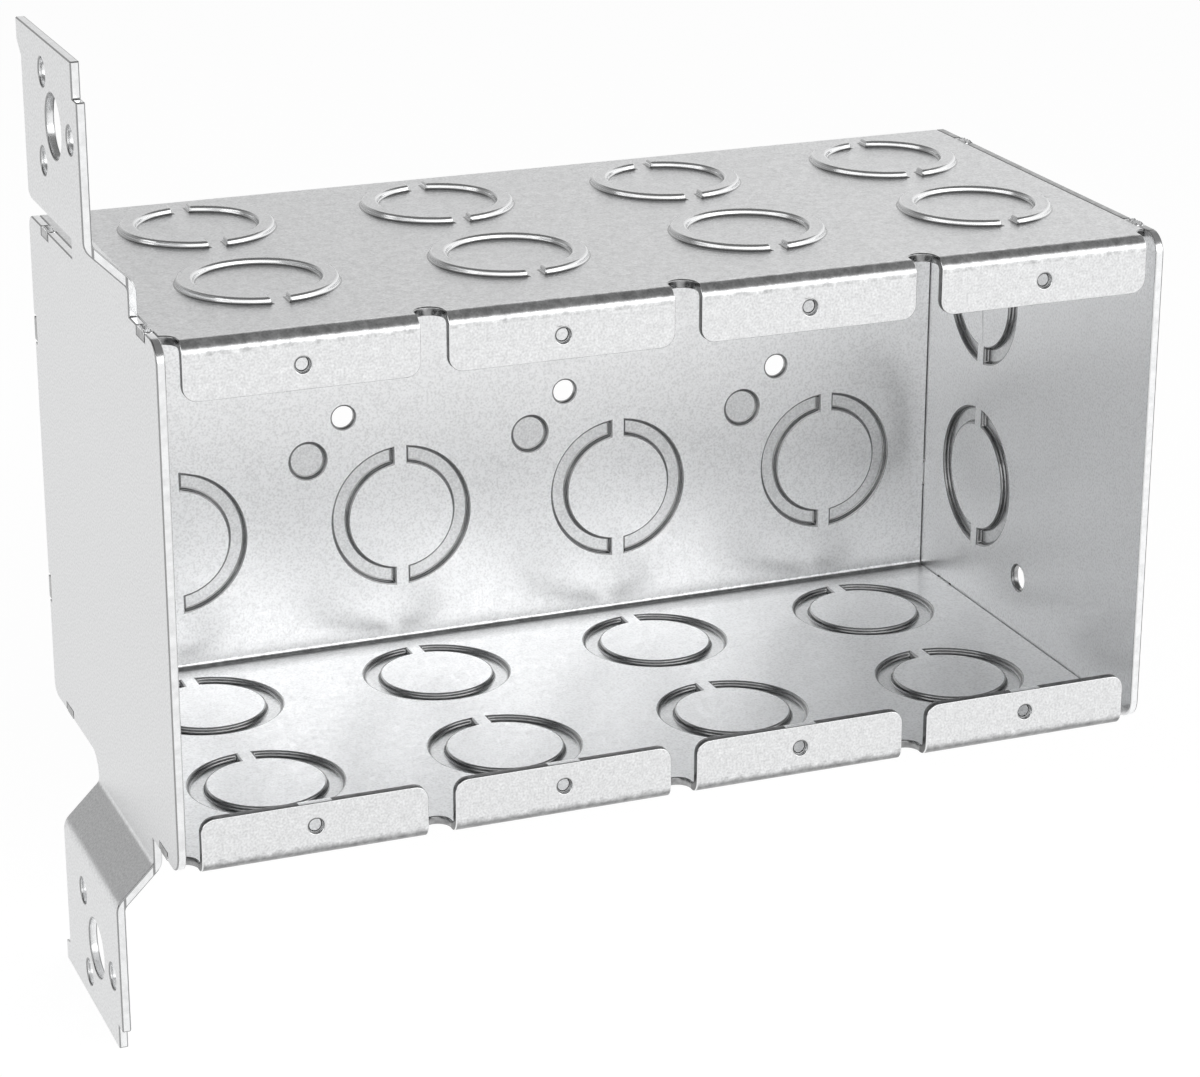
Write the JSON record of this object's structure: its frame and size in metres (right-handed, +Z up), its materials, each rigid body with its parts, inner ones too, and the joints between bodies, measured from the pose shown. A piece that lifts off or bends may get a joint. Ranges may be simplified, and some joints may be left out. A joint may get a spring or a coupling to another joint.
{
  "type": "masonry box",
  "caption": "Galvanised sheet steel masonry box with folded device tabs, concentric knockouts and a joggled bracket strap on one end.",
  "frame": {"origin": "middle of the device screw pattern, on the front face of the folded tabs", "axes": "+X along the box, away from the bracket; +Y from the open front to the back; +Z up"},
  "size_m": [0.1955, 0.0916, 0.1795],
  "materials": {
    "galvanised_sheet": "dull galvanised"
  },
  "bodies": {
    "root": {"body_channel": "galvanised_sheet", "bracket_end_plate": "galvanised_sheet", "plain_end_plate": "galvanised_sheet"}
  },
  "joints": []
}
